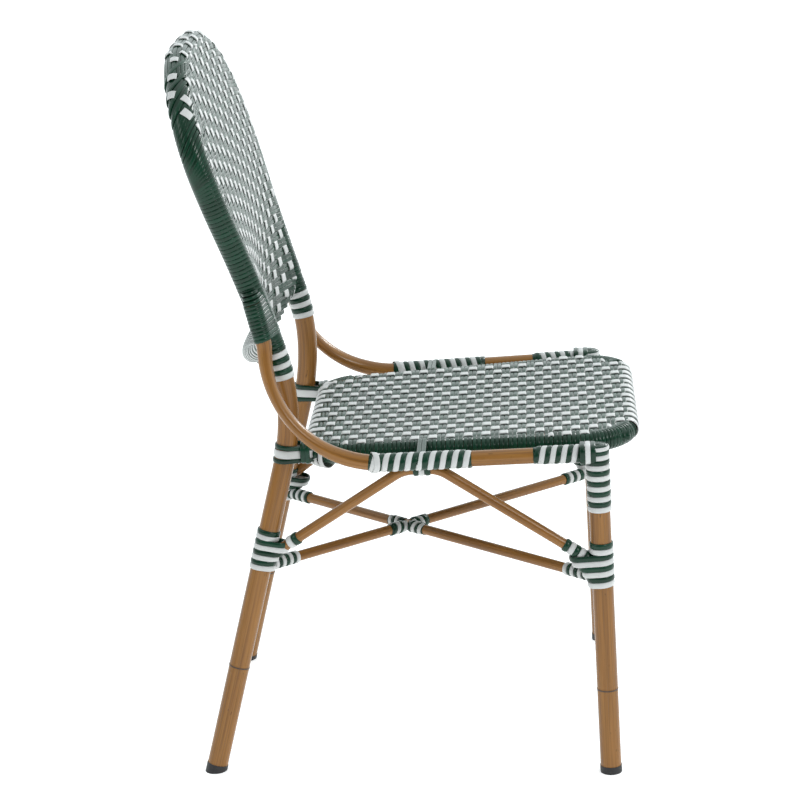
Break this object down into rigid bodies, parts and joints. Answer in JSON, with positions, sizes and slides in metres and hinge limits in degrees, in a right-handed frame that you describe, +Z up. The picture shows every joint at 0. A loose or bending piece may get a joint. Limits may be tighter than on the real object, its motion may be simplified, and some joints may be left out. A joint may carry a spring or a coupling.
{
  "type": "stacking chair",
  "caption": "Armless stacking side chair with a bent round tube frame, bound joints, a woven seat and a balloon-shaped woven back.",
  "frame": {"origin": "on the floor, under the middle of the chair's bounding box", "axes": "+Z up, the sitter faces -Y, +X is the sitter's left"},
  "size_m": [0.4564, 0.5479, 0.8814],
  "materials": {
    "frame_tube": "satin printed bamboo grain",
    "binding": "satin green and white strands",
    "weave": "satin woven strands",
    "foot_cap": "matte",
    "ring_line": "satin",
    "plug": "matte"
  },
  "bodies": {
    "root": {"rear_leg_left": "frame_tube", "front_leg_left": "frame_tube", "side_rail_left": "frame_tube", "side_arch_left": "frame_tube", "front_leg_plug_left": "plug", "rail_binding_left": "binding", "corner_binding_left": "binding", "front_leg_binding_left": "binding", "rear_leg_binding_left": "binding", "rear_tie_left": "binding", "rear_leg_wrap_left": "binding", "foot_cap_rear_left": "foot_cap", "leg_ring_rear_left": "ring_line", "foot_cap_front_left": "foot_cap", "leg_ring_front_left": "ring_line", "rear_leg_right": "frame_tube", "front_leg_right": "frame_tube", "side_rail_right": "frame_tube", "side_arch_right": "frame_tube", "front_leg_plug_right": "plug", "rail_binding_right": "binding", "corner_binding_right": "binding", "front_leg_binding_right": "binding", "rear_leg_binding_right": "binding", "rear_tie_right": "binding", "rear_leg_wrap_right": "binding", "foot_cap_rear_right": "foot_cap", "leg_ring_rear_right": "ring_line", "foot_cap_front_right": "foot_cap", "leg_ring_front_right": "ring_line", "back_hoop": "frame_tube", "back_low_rail": "frame_tube", "seat_frame": "frame_tube", "seat_bar_front": "frame_tube", "seat_bar_rear": "frame_tube", "cross_brace_long": "frame_tube", "cross_brace_rear": "frame_tube", "cross_brace_front": "frame_tube", "back_hoop_wrap": "binding", "back_low_rail_wrap": "binding", "seat_frame_wrap": "binding", "cross_binding": "binding", "back_weave": "weave", "seat_weave": "weave"}
  },
  "joints": []
}
